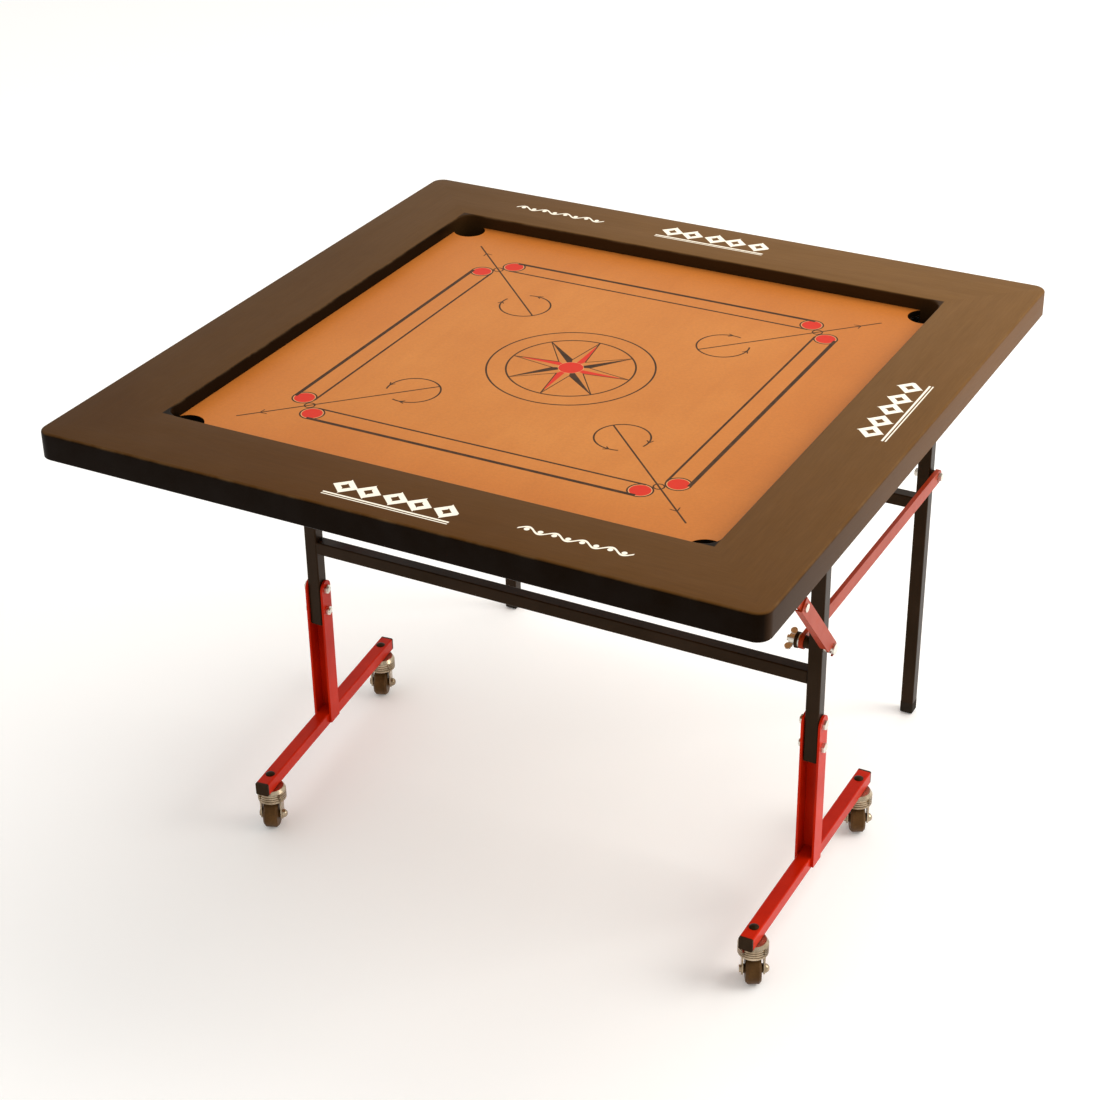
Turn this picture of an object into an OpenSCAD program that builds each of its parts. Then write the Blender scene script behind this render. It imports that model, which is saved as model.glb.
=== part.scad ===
// Carrom board on a folding stand with castors.
// Millimetres, +Z up, origin on the floor under the middle of the board, front edge toward -Y.

/* [Board] */
// Outer side of the square wooden frame
board_side = 944; // [860:2:1040]
// Side of the square playing surface between the rails
playing_side = 740; // [700:2:760]
// Height of the playing surface above the floor
playing_height = 680; // [640:5:760]
// Thickness of the frame rails from top face to underside
rail_thick = 36; // [32:1:44]
// How far the rails stand above the playing surface
rail_rise = 18; // [14:1:20]
// Radius of the outer corners of the frame
corner_round = 18; // [6:1:30]
// Thickness of the plywood playing surface
ply_thick = 8; // [6:1:10]
// Depth of the groove in the rails that holds the plywood edge
groove_deep = 8; // [5:1:12]
// Diameter of each corner pocket
pocket_dia = 44.5; // [40:0.5:52]
// Gap between the pocket holes and the rails
pocket_edge = 2.5; // [0:0.5:6]
// Depth of the pocket nets below the plywood
net_deep = 58; // [45:1:70]
// Width of the battens under the plywood
batten_wide = 40; // [25:1:60]
// Distance of the long battens from the centre line
batten_x = 140; // [100:5:220]

/* [Stand] */
// Distance of the feet and uprights from the centre line
stand_half = 370; // [340:2:390]
// How much farther out the left half of the stand sits than the right
left_out = 8; // [0:1:12]
// Side of the square steel tubes
tube = 19; // [16:0.5:22]
// Wall of the square steel tubes
tube_wall = 1.6; // [1.2:0.2:2.4]
// Depth position of the uprights, measured from the middle of the board
upright_y = -52; // [-80:1:-30]
// Height of the lower ends of the uprights
upright_foot_z = 229; // [200:1:240]
// Height of the middle of the crossbars
crossbar_z = 354; // [320:1:366]
// Underside of the feet above the floor
foot_z = 63; // [60:1:75]
// Front ends of the foot tubes
foot_front_y = -250; // [-270:1:-245]
// Rear ends of the foot tubes
foot_rear_y = 150; // [145:1:175]
// Top of the red channels that hold the uprights
channel_top_z = 297; // [280:1:310]
// Wall of the red channels
channel_wall = 3; // [2:0.5:4]
// Angle the left foot is turned outward around its upright
left_toe = 6.5; // [0:0.5:9]

/* [Folding links] */
// Distance of the rear legs from the centre line
leg_x = 333; // [320:1:336]
// Depth position of the rear legs
leg_y = 437; // [400:1:445]
// Height of the lower pivots of the link bars
link_z = 400; // [380:1:430]
// Height of a link bar on edge
link_tall = 20; // [16:1:22]
// Thickness of a link bar
link_thick = 6; // [4:0.5:6]
// Depth of the upper pivots below the frame underside
pivot_drop = 16; // [15:0.5:22]
// Distance between the board pivots and the stay pivots
stay_reach = 215; // [190:1:222]
// Width of the lock stays
stay_wide = 20; // [16:1:22]
// Length of the lower channel of a stay from the lock bolt to its joint bolt
stay_lower = 150; // [120:1:170]

/* [Pins and fasteners] */
// Diameter of the pivot and lock bolts
bolt_dia = 8; // [6:0.5:9]
// Diameter of the stay pivot rivets and stay joint bolts
rivet_dia = 6; // [5:0.5:7]
// Radial clearance of every turning fit
run_gap = 0.05; // [0.02:0.01:0.1]
// Gap kept beside faces that slide past each other
side_gap = 0.3; // [0.3:0.1:0.6]
// Diameter of the friction discs behind the wing nuts
disc_dia = 21; // [17:0.5:24]

/* [Castors] */
// Diameter of the castor wheels
wheel_dia = 40; // [36:1:42]
// Width of the castor wheels
wheel_wide = 20; // [16:1:22]
// Diameter of the ball race rings
race_dia = 40; // [36:1:46]
// Distance the wheels trail behind the turning axis
trail = 5; // [4:1:15]
// Front castor position
castor_front_y = -227; // [-235:1:-220]
// Rear castor position
castor_rear_y = 130; // [120:1:135]
// Angle the right castors stand turned to
castor_turn = -152; // [-180:1:180]
// Angle the left castors stand turned to, measured from their foot
castor_turn_left = -165; // [-180:1:180]

/* [Hidden] */
$fn = 64;
rail_top = playing_height + rail_rise;
under_z = rail_top - rail_thick;
ply_z = playing_height - ply_thick;
batten_thick = ply_z - under_z;
pocket_r = pocket_dia / 2;
pocket_at = playing_side / 2 - pocket_r - pocket_edge;
ring_wall = 2;
ring_r = pocket_r + ring_wall;
flange_r = ring_r + 6.5;
flange_thick = 2;
net_wall = 1;
bolt_r = bolt_dia / 2;
rivet_r = rivet_dia / 2;
tube_r = 2;
pivot_z = under_z - pivot_drop;
plate_thick = 3;
plate_z = under_z - plate_thick;
post_top = pivot_z + pivot_drop * 0.375;
ear_r = 9;
ear_thick = 3;
ear_gap = 0.5;
head_thick = 2.6;
head_r = 6.5;
upright_out = stand_half + tube / 2;
upright_in = stand_half - tube / 2;
leg_out = leg_x + tube / 2;
leg_in = leg_x - tube / 2;
foot_top = foot_z + tube;
cap_thick = 3;
tip_tall = 19;
tip_round = 4;
plug_deep = 14;
channel_front = 12;
// half of the room inside a channel, so that a turned channel bears on the upright's corners
channel_in = (tube / 2 - tube_r) * (cos(left_toe) + sin(left_toe)) + tube_r;
channel_out = channel_in + channel_wall;
channel_skirt_z = foot_z + 4;
// the lock bolt stack, outward from the upright
stay_in = upright_out + 2;
web_in = stay_in + 6.5;
stay_out = web_in + 2.5;
stay_wall = 2;
// and inward from the upright
link_out = upright_in - 7.5;
link_in = link_out - link_thick;
washer_thick = 1.7;
disc_thick = 4;
disc_in = link_in - side_gap - washer_thick - disc_thick;
nut_thick = 7.7;
// stay geometry
stay_dy = stay_reach;
stay_dz = pivot_z - link_z;
stay_len = sqrt(stay_dy * stay_dy + stay_dz * stay_dz);
stay_tilt = atan2(stay_dz, stay_dy);
stay_y = upright_y - stay_reach;
bar_wide = stay_wide - 2 * stay_wall - 2 * 0.2;
bar_thick = 4;
bar_in = web_in - bar_thick;
stay_ear_thick = 2.4;
stay_ear_in = bar_in - side_gap - stay_ear_thick;
hook_gap = 0.35;
flange_start = 24;
// castor heights
axle_z = wheel_dia / 2;
cup_z = wheel_dia + 4;
race_z = foot_z - 5;
stem_r = 5;
axle_r = 3;
fork_in = wheel_wide / 2 + 3;
fork_out = fork_in + 2;
fork_eye_r = 8;
screw_r = 1.9;
screw_head_r = 4;
screw_head = 2.2;
screw_bite = 12;

// square with rounded corners
module round_square(w, d, r) {
  square([w - 2 * r, d], center = true);
  square([w, d - 2 * r], center = true);
  for (sx = [-1, 1], sy = [-1, 1])
    translate([sx * (w / 2 - r), sy * (d / 2 - r)])
      circle(r = r);
}

// square tube along Z from z0 to z1
module tube_up(z0, z1) {
  translate([0, 0, z0])
    linear_extrude(z1 - z0)
      difference() {
        round_square(tube, tube, tube_r);
        square(tube - 2 * tube_wall, center = true);
      }
}

// round bar along X between two positions
module bar_x(r, x0, x1) {
  translate([x0, 0, 0])
    rotate([0, 90, 0])
      cylinder(r = r, h = x1 - x0);
}

// hexagon along X between two positions
module hex_x(r, x0, x1) {
  translate([x0, 0, 0])
    rotate([0, 90, 0])
      cylinder(r = r, h = x1 - x0, $fn = 6);
}

// ring along X between two positions
module ring_x(r, bore, x0, x1) {
  difference() {
    bar_x(r, x0, x1);
    bar_x(bore, x0 - 1, x1 + 1);
  }
}

// position across the stand on the left (-1) or right (1) side
function across(side, x) = side < 0 ? -x - left_out : x;

// a right-hand piece placed on its side, mirrored on the left
module on_side(side) {
  translate([across(side, 0), 0, 0])
    mirror([side < 0 ? 1 : 0, 0, 0])
      children();
}

module both_sides() {
  for (side = [-1, 1])
    on_side(side)
      children();
}

// frame of one foot: X from the middle of the foot, Y and Z unchanged, turned around the upright
module foot_frame(side) {
  translate([across(side, stand_half), upright_y, 0])
    rotate([0, 0, toe_of(side)])
      translate([0, -upright_y, 0])
        children();
}

function toe_of(side) = side < 0 ? left_toe : 0;

// ---------- board ----------

// screw places on the right half
screw_spots = [
  [stand_half + 38, upright_y - 20], [stand_half + 38, upright_y + 20],
  [leg_x - 24, leg_y], [leg_x + 24, leg_y],
  [stand_half + 38, stay_y - 8], [stand_half + 38, stay_y + 8]
];

module screw_shanks() {
  both_sides()
    for (p = screw_spots)
      translate([p[0], p[1], plate_z])
        cylinder(r = screw_r, h = plate_thick + screw_bite);
}

// one mitred rail; the front rail is the one at turn 0
module rail(turn) {
  color([0.36, 0.22, 0.1])
    difference() {
      translate([0, 0, under_z])
        linear_extrude(rail_thick)
          intersection() {
            difference() {
              round_square(board_side, board_side, corner_round);
              round_square(playing_side, playing_side, pocket_r);
            }
            rotate(turn)
              polygon([[0, 0], [-board_side, -board_side], [board_side, -board_side]]);
          }
      translate([0, 0, ply_z])
        linear_extrude(ply_thick)
          round_square(playing_side + 2 * groove_deep, playing_side + 2 * groove_deep, pocket_r + groove_deep);
      for (sx = [-1, 1], sy = [-1, 1])
        translate([sx * pocket_at, sy * pocket_at, under_z - 1])
          cylinder(r = flange_r + 0.2, h = batten_thick + 1);
      screw_shanks();
    }
}

module rail_front() { rail(0); }
module rail_right() { rail(90); }
module rail_back() { rail(180); }
module rail_left() { rail(270); }

module playing_surface() {
  color([0.84, 0.55, 0.27])
    translate([0, 0, ply_z])
      linear_extrude(ply_thick)
        difference() {
          round_square(playing_side + 2 * groove_deep, playing_side + 2 * groove_deep, pocket_r + groove_deep);
          for (sx = [-1, 1], sy = [-1, 1])
            translate([sx * pocket_at, sy * pocket_at])
              circle(r = pocket_r);
        }
}

// two long battens and the short one between them
module battens() {
  color([0.7, 0.52, 0.32]) {
    for (sx = [-1, 1])
      translate([sx * batten_x - batten_wide / 2, -playing_side / 2, under_z])
        cube([batten_wide, playing_side, batten_thick]);
    translate([-batten_x + batten_wide / 2, -batten_wide / 2, under_z])
      cube([2 * batten_x - batten_wide, batten_wide, batten_thick]);
  }
}

// flanged rings under the pocket holes
module pocket_rings() {
  color([0.8, 0.8, 0.8])
    for (sx = [-1, 1], sy = [-1, 1])
      translate([sx * pocket_at, sy * pocket_at, under_z])
        rotate_extrude()
          polygon([
            [pocket_r, 0], [ring_r, 0], [ring_r, batten_thick - flange_thick],
            [flange_r, batten_thick - flange_thick], [flange_r, batten_thick], [pocket_r, batten_thick]
          ]);
}

// soft nets hung on the rings
module pocket_nets() {
  color([0.12, 0.11, 0.1])
    for (sx = [-1, 1], sy = [-1, 1])
      translate([sx * pocket_at, sy * pocket_at, ply_z])
        rotate_extrude()
          polygon([
            [ring_r, -3], [ring_r + net_wall, -3], [ring_r + net_wall, -11],
            [ring_r + 4.5, -net_deep * 0.45], [ring_r + 3, -net_deep * 0.72], [ring_r - 5, -net_deep * 0.93],
            [0, -net_deep], [0, -net_deep + net_wall], [ring_r - 5.5, -net_deep * 0.93 + net_wall],
            [ring_r + 1.8, -net_deep * 0.72], [ring_r + 3.3, -net_deep * 0.45], [ring_r, -12]
          ]);
}

// a plate ear around a pivot, thickness along X
module ear(x0, pin_r, thick = ear_thick) {
  translate([x0, 0, 0])
    difference() {
      union() {
        bar_x(ear_r, 0, thick);
        translate([0, -ear_r, 0])
          cube([thick, 2 * ear_r, plate_z - pivot_z]);
      }
      bar_x(pin_r, -1, thick + 1);
    }
}

// base plate with two screw holes, coordinates on the right side
module base_plate(x0, x1, y0, y1) {
  difference() {
    translate([x0, y0, plate_z])
      cube([x1 - x0, y1 - y0, plate_thick]);
    screw_shanks();
  }
}

module tilt_brackets() {
  color([0.1, 0.1, 0.1])
    both_sides() {
      base_plate(upright_in - ear_gap - ear_thick, stand_half + 48, upright_y - 28, upright_y + 28);
      translate([0, upright_y, pivot_z]) {
        ear(upright_in - ear_gap - ear_thick, bolt_r);
        ear(upright_out + ear_gap, bolt_r);
      }
    }
}

module leg_brackets() {
  color([0.1, 0.1, 0.1])
    both_sides() {
      base_plate(leg_x - 32, leg_x + 32, leg_y - 14, leg_y + 14);
      translate([0, leg_y, pivot_z]) {
        ear(leg_in - ear_gap - ear_thick, bolt_r);
        ear(leg_out + ear_gap, bolt_r);
      }
    }
}

module stay_brackets() {
  color([0.1, 0.1, 0.1])
    both_sides() {
      base_plate(stay_ear_in, stand_half + 48, stay_y - 16, stay_y + 16);
      translate([0, stay_y, pivot_z]) {
        ear(stay_ear_in, rivet_r, stay_ear_thick);
        ear(web_in + ear_gap, rivet_r);
      }
    }
}

module bracket_screws() {
  color([0.75, 0.75, 0.75]) {
    screw_shanks();
    both_sides()
      for (p = screw_spots)
        translate([p[0], p[1], plate_z - screw_head])
          cylinder(r = screw_head_r, h = screw_head);
  }
}

// bolt through two ears: head inside, nut outside
module ear_bolt(x0, x1) {
  bar_x(bolt_r, x0, x1 + 3.4);
  bar_x(head_r, x0 - head_thick, x0);
  hex_x(head_r, x1, x1 + 3);
}

module tilt_bolts() {
  color([0.78, 0.78, 0.78])
    both_sides()
      translate([0, upright_y, pivot_z])
        ear_bolt(upright_in - ear_gap - ear_thick, upright_out + ear_gap + ear_thick);
}

module leg_bolts() {
  color([0.78, 0.78, 0.78])
    both_sides()
      translate([0, leg_y, pivot_z])
        ear_bolt(leg_in - ear_gap - ear_thick, leg_out + ear_gap + ear_thick);
}

// rivets: flat inner end, domed outer head
module stay_rivets() {
  far = web_in + ear_gap + ear_thick;
  color([0.78, 0.78, 0.78])
    both_sides()
      translate([0, stay_y, pivot_z]) {
        bar_x(rivet_r, stay_ear_in, far);
        bar_x(rivet_r + 1.5, stay_ear_in - 0.6, stay_ear_in);
        bar_x(rivet_r + 2.5, far, far + 2.4);
      }
}

// ---------- stand ----------

module upright(side) {
  color([0.08, 0.08, 0.08])
    difference() {
      translate([across(side, stand_half), upright_y, 0])
        tube_up(upright_foot_z, post_top);
      translate([across(side, stand_half), upright_y, 0]) {
        translate([0, 0, pivot_z])
          bar_x(bolt_r + run_gap, -tube, tube);
        translate([0, 0, link_z])
          bar_x(bolt_r, -tube, tube);
        for (z = channel_holes)
          translate([0, 0, z])
            bar_x(bolt_r + tube * 0.6 * sin(toe_of(side)), -tube, tube);
      }
    }
}

channel_holes = [channel_top_z - 47, channel_top_z - 12];

module upright_left() { upright(-1); }
module upright_right() { upright(1); }

// square tube along X between two inner faces
module crossbar(x_half, y, z) {
  color([0.08, 0.08, 0.08])
    translate([0, y, z])
      rotate([0, 90, 0])
        tube_up(across(-1, x_half), x_half);
}

module front_crossbar() { crossbar(upright_in, upright_y, crossbar_z); }
module rear_crossbar() { crossbar(leg_in, leg_y, crossbar_z); }

// channel open to the front with round tops, welded on a foot with skirts over its sides
module channel(side) {
  wide = 2 * channel_out;
  back = upright_y + channel_out;
  front = upright_y - channel_front;
  mid = (front + back) / 2;
  top_r = (back - front) / 2;
  color([0.85, 0.12, 0.04])
    foot_frame(side)
      difference() {
        union() {
          translate([-channel_out, front, channel_skirt_z])
            cube([wide, back - front, channel_top_z - top_r - channel_skirt_z]);
          translate([0, mid, channel_top_z - top_r])
            bar_x(top_r, -channel_out, channel_out);
        }
        translate([-tube / 2, front - 1, channel_skirt_z - 1])
          cube([tube, back - front + 2, foot_top - channel_skirt_z + 1]);
        translate([-channel_in, front - 1, foot_top])
          cube([2 * channel_in, channel_in + channel_front + 1, channel_top_z - foot_top + 2]);
        translate([-channel_in, back - channel_wall - 1, channel_top_z - 2 * top_r])
          cube([2 * channel_in, channel_wall + 2, 2 * top_r + 1]);
        for (z = channel_holes)
          translate([0, upright_y, z])
            bar_x(bolt_r, -wide, wide);
      }
}

module channel_left() { channel(-1); }
module channel_right() { channel(1); }

// cross bolts of the channels with heads outside and nuts inside
module channel_bolts() {
  nut_thick_low = 4;
  color([0.8, 0.8, 0.8])
    for (side = [-1, 1], z = channel_holes)
      foot_frame(side)
        translate([0, upright_y, z])
          mirror([side < 0 ? 1 : 0, 0, 0]) {
            bar_x(bolt_r, -channel_out - nut_thick_low - 1.5, channel_out);
            hex_x(head_r + 0.5, channel_out, channel_out + 4);
            hex_x(head_r + 0.5, -channel_out - nut_thick_low, -channel_out);
          }
}

castor_spots_y = [castor_front_y, castor_rear_y];

module foot(side) {
  color([0.85, 0.12, 0.04])
    difference() {
      foot_frame(side)
        translate([0, 0, foot_z + tube / 2])
          rotate([-90, 0, 0])
            tube_up(foot_front_y, foot_rear_y);
      foot_frame(side)
        for (y = castor_spots_y)
          translate([0, y, foot_z - 1])
            cylinder(r = stem_r, h = tube + 2);
    }
}

module foot_left() { foot(-1); }
module foot_right() { foot(1); }

// black plugs in both ends of each foot
module foot_caps() {
  color([0.05, 0.05, 0.05])
    for (side = [-1, 1], e = [[foot_front_y, -1], [foot_rear_y, 1]])
      foot_frame(side)
        translate([0, e[0], foot_z + tube / 2])
          rotate([-90 * e[1], 0, 0]) {
            linear_extrude(cap_thick)
              round_square(tube, tube, tube_r);
            translate([0, 0, -12])
              linear_extrude(12)
                round_square(tube - 2 * tube_wall, tube - 2 * tube_wall, 1);
          }
}

// black domes over the stem ends
module stem_caps() {
  color([0.05, 0.05, 0.05])
    for (side = [-1, 1], y = castor_spots_y)
      foot_frame(side)
        translate([0, y, foot_top])
          intersection() {
            cylinder(r = stem_r + 1.5, h = 3);
            translate([0, 0, -7])
              sphere(r = 10);
          }
}

module castor_stems() {
  color([0.7, 0.7, 0.7])
    for (side = [-1, 1], y = castor_spots_y)
      foot_frame(side)
        translate([0, y, 0]) {
          translate([0, 0, cup_z - side_gap - 2])
            cylinder(r = stem_r + 3, h = 2);
          translate([0, 0, cup_z - side_gap])
            cylinder(r = stem_r, h = foot_top - cup_z + side_gap);
        }
}

// fixed upper races, coned toward the foot
module castor_top_races() {
  color([0.78, 0.66, 0.45])
    for (side = [-1, 1], y = castor_spots_y)
      foot_frame(side)
        translate([0, y, race_z])
          difference() {
            cylinder(r1 = race_dia / 2, r2 = race_dia / 2 - 3, h = foot_z - race_z);
            translate([0, 0, -1])
              cylinder(r = stem_r, h = foot_z - race_z + 2);
          }
}

// lock bolts: low round head outside, thread reaching past the wing nut
module lock_bolts() {
  color([0.82, 0.82, 0.82])
    both_sides()
      translate([0, upright_y, link_z]) {
        bar_x(bolt_r, disc_in - nut_thick - 4, stay_out + side_gap);
        bar_x(head_r + 0.5, stay_out + side_gap, stay_out + side_gap + 2.6);
      }
}

module lock_collars() {
  color([0.78, 0.78, 0.78])
    both_sides()
      translate([0, upright_y, link_z])
        ring_x(bolt_r + 2.5, bolt_r, upright_out, web_in - side_gap);
}

module link_spacers() {
  color([0.2, 0.2, 0.2])
    both_sides()
      translate([0, upright_y, link_z])
        ring_x(bolt_r + 4, bolt_r, link_out + side_gap, upright_in);
}

module lock_washers() {
  color([0.8, 0.8, 0.8])
    both_sides()
      translate([0, upright_y, link_z])
        ring_x(bolt_r + 5, bolt_r, link_in - side_gap - washer_thick, link_in - side_gap);
}

module friction_discs() {
  color([0.05, 0.05, 0.05])
    both_sides()
      translate([0, upright_y, link_z])
        ring_x(disc_dia / 2, bolt_r, disc_in, disc_in + disc_thick);
}

// ---------- rear legs and link bars ----------

module rear_leg(side) {
  color([0.08, 0.08, 0.08])
    difference() {
      translate([across(side, leg_x), leg_y, 0])
        tube_up(tip_tall, post_top);
      translate([across(side, leg_x), leg_y, pivot_z])
        bar_x(bolt_r + run_gap, -tube, tube);
      translate([across(side, leg_x), leg_y, link_z])
        bar_x(bolt_r, -tube, tube);
    }
}

module rear_leg_left() { rear_leg(-1); }
module rear_leg_right() { rear_leg(1); }

// side outline of a tip, round at the two lower corners
module tip_outline(wide) {
  translate([-wide / 2, tip_round])
    square([wide, tip_tall - tip_round]);
  translate([-wide / 2 + tip_round, 0])
    square([wide - 2 * tip_round, tip_tall]);
  for (s = [-1, 1])
    translate([s * (wide / 2 - tip_round), tip_round])
      circle(r = tip_round);
}

// rubber tips plugged into the leg ends
module leg_tips() {
  wide = tube + 0.4;
  plug = tube - 2 * tube_wall;
  color([0.06, 0.06, 0.06])
    for (side = [-1, 1])
      translate([across(side, leg_x), leg_y, 0]) {
        intersection() {
          linear_extrude(tip_tall)
            round_square(wide, wide, tube_r);
          rotate([90, 0, 0])
            linear_extrude(2 * wide, center = true)
              tip_outline(wide);
          rotate([90, 0, 90])
            linear_extrude(2 * wide, center = true)
              tip_outline(wide);
        }
        translate([0, 0, tip_tall - 1])
          linear_extrude(plug_deep + 1)
            round_square(plug, plug, 1);
      }
}

module link_bolts() {
  color([0.8, 0.8, 0.8])
    both_sides()
      translate([0, leg_y, link_z]) {
        bar_x(bolt_r, leg_in - 6, link_out + side_gap);
        hex_x(head_r, link_out + side_gap, link_out + side_gap + 4.5);
        hex_x(head_r, leg_in - 5, leg_in);
      }
}

module leg_spacers() {
  color([0.2, 0.2, 0.2])
    both_sides()
      translate([0, leg_y, link_z])
        ring_x(bolt_r + 4, bolt_r, leg_out, link_in - side_gap);
}

// flat bar on edge with round ends and two turning holes
module link_bar(side) {
  color([0.8, 0.2, 0.1])
    on_side(side)
      translate([0, 0, link_z])
        difference() {
          union() {
            translate([link_in, upright_y, -link_tall / 2])
              cube([link_thick, leg_y - upright_y, link_tall]);
            for (y = [upright_y, leg_y])
              translate([0, y, 0])
                bar_x(link_tall / 2, link_in, link_out);
          }
          for (y = [upright_y, leg_y])
            translate([0, y, 0])
              bar_x(bolt_r + run_gap, link_in - 1, link_out + 1);
        }
}

module link_bar_left() { link_bar(-1); }
module link_bar_right() { link_bar(1); }

// ---------- lock stays ----------

// stay frame: origin on the lock bolt, +Z along the stay toward its pivot, +Y to the rear
module stay_frame(side) {
  on_side(side)
    translate([0, upright_y, link_z])
      rotate([90 - stay_tilt, 0, 0])
        children();
}

// pressed channel, web outside, with a hook at the lock bolt
module stay_channel(side) {
  half = stay_wide / 2;
  notch_r = bolt_r + hook_gap;
  top = stay_lower + 10;
  // the bolt leaves toward the front and down while the board tilts or the stay lifts
  leave_a = 180 - (90 - stay_tilt);
  color([0.85, 0.1, 0.04])
    stay_frame(side)
      difference() {
        union() {
          translate([web_in, -half, 0])
            cube([stay_out - web_in, stay_wide, top]);
          bar_x(half, web_in, stay_out);
          for (y = [-half, half - stay_wall])
            translate([stay_in, y, flange_start])
              cube([web_in - stay_in, stay_wall, top - flange_start]);
        }
        bar_x(notch_r, web_in - 1, stay_out + 1);
        for (a = [leave_a : 12 : leave_a + 48])
          rotate([a, 0, 0])
            translate([web_in - 1, 0, -notch_r])
              cube([stay_out - web_in + 2, stay_wide * 1.5, 2 * notch_r]);
        translate([0, 0, stay_lower])
          bar_x(rivet_r, stay_in - 1, stay_out + 1);
      }
}

// flat bar nested in the channel and pivoted under the board
module stay_bar(side) {
  color([0.85, 0.1, 0.04])
    stay_frame(side)
      difference() {
        union() {
          translate([bar_in, -bar_wide / 2, stay_lower - 26])
            cube([bar_thick, bar_wide, stay_len - stay_lower + 26]);
          translate([0, 0, stay_len])
            bar_x(bar_wide / 2, bar_in, web_in);
        }
        translate([0, 0, stay_len])
          bar_x(rivet_r + run_gap, bar_in - 1, web_in + 1);
        translate([0, 0, stay_lower])
          bar_x(rivet_r, bar_in - 1, web_in + 1);
      }
}

// bolt that clamps the bar in the channel
module stay_bolt(side) {
  color([0.8, 0.8, 0.8])
    stay_frame(side)
      translate([0, 0, stay_lower]) {
        bar_x(rivet_r, bar_in - 3.6, stay_out);
        bar_x(rivet_r + 2.4, stay_out, stay_out + 1.8);
        hex_x(rivet_r + 2.6, bar_in - 3.2, bar_in);
      }
}

module stay_left_channel() { stay_channel(-1); }
module stay_left_bar() { stay_bar(-1); }
module stay_left_bolt() { stay_bolt(-1); }
module stay_right_channel() { stay_channel(1); }
module stay_right_bar() { stay_bar(1); }
module stay_right_bolt() { stay_bolt(1); }

// hub with two rounded wings on the lock bolt
module wing_nut(side) {
  out = disc_in - side_gap;
  near = out - nut_thick;
  hub_r = bolt_r + 3;
  wing_r = 4.5;
  wing_thick = 2.4;
  wing_at = hub_r + wing_r;
  color([0.82, 0.82, 0.82])
    on_side(side)
      translate([0, upright_y, link_z])
        difference() {
          union() {
            bar_x(hub_r, near, out);
            for (s = [0, 180])
              rotate([30 + s, 0, 0])
                translate([near + 2, 0, -wing_thick / 2]) {
                  translate([-2, hub_r - 1, 0])
                    cube([6, wing_at - hub_r + 1, wing_thick]);
                  translate([-1, wing_at, 0])
                    cylinder(r = wing_r, h = wing_thick);
                }
          }
          bar_x(bolt_r + run_gap, near - 6, out + 1);
        }
}

module wing_nut_left() { wing_nut(-1); }
module wing_nut_right() { wing_nut(1); }

// ---------- castors ----------

// castor frame: origin on the floor under the stem, axle along X, trail toward +Y
module castor_frame(side, y) {
  foot_frame(side)
    translate([0, y, 0])
      rotate([0, 0, side > 0 ? castor_turn : castor_turn_left])
        children();
}

// cup with the lower race and two side plates
module fork(side, y) {
  cup_r = race_dia / 2;
  cup_top = race_z - side_gap;
  groove_tall = 1.3;
  color([0.78, 0.66, 0.45])
    castor_frame(side, y)
      difference() {
        union() {
          translate([0, 0, cup_z])
            cylinder(r = cup_r, h = cup_top - cup_z);
          for (s = [-1, 1])
            translate([s > 0 ? fork_in : -fork_out, 0, 0])
              rotate([90, 0, 90])
                linear_extrude(fork_out - fork_in) {
                  translate([trail, axle_z])
                    circle(r = fork_eye_r);
                  polygon([
                    [-11, cup_z + 2], [-9, cup_top - 2], [-5, cup_top], [14, cup_top], [18, cup_top - 2],
                    [trail + fork_eye_r, cup_z - 2], [trail + fork_eye_r, axle_z], [trail - fork_eye_r, axle_z],
                    [trail - fork_eye_r, cup_z - 8]
                  ]);
                }
        }
        translate([0, 0, cup_z - 1])
          cylinder(r = stem_r + run_gap, h = cup_top - cup_z + 2);
        for (z = [cup_z + 3, cup_z + 6.5, cup_z + 10])
          translate([0, 0, z])
            difference() {
              cylinder(r = cup_r + 3, h = groove_tall);
              translate([0, 0, -1])
                cylinder(r = cup_r - 1.2, h = groove_tall + 2);
            }
        translate([0, trail, axle_z])
          bar_x(axle_r, -fork_out - 1, fork_out + 1);
      }
}

module fork_front_left() { fork(-1, castor_front_y); }
module fork_front_right() { fork(1, castor_front_y); }
module fork_rear_left() { fork(-1, castor_rear_y); }
module fork_rear_right() { fork(1, castor_rear_y); }

// axle bolt with a domed nut on one end
module axle(side, y) {
  nut_r = 6.2;
  color([0.72, 0.6, 0.4])
    castor_frame(side, y)
      translate([0, trail, axle_z]) {
        bar_x(axle_r, -fork_out, fork_out);
        bar_x(5, fork_out, fork_out + 2.6);
        intersection() {
          bar_x(nut_r, -fork_out - 6, -fork_out);
          translate([-fork_out, 0, 0])
            sphere(r = nut_r);
        }
      }
}

module axle_front_left() { axle(-1, castor_front_y); }
module axle_front_right() { axle(1, castor_front_y); }
module axle_rear_left() { axle(-1, castor_rear_y); }
module axle_rear_right() { axle(1, castor_rear_y); }

// wheel with bevelled edges and a hub that spaces it in the fork
module wheel(side, y) {
  r = wheel_dia / 2;
  half = wheel_wide / 2;
  bevel = 3;
  hub = fork_in - side_gap;
  color([0.16, 0.1, 0.06])
    castor_frame(side, y)
      translate([0, trail, axle_z])
        rotate([0, 90, 0])
          rotate_extrude()
            polygon([
              [axle_r + run_gap, -hub], [6, -hub], [6, -half], [r - bevel, -half], [r, -half + bevel],
              [r, half - bevel], [r - bevel, half], [6, half], [6, hub], [axle_r + run_gap, hub]
            ]);
}

module wheel_front_left() { wheel(-1, castor_front_y); }
module wheel_front_right() { wheel(1, castor_front_y); }
module wheel_rear_left() { wheel(-1, castor_rear_y); }
module wheel_rear_right() { wheel(1, castor_rear_y); }

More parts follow.
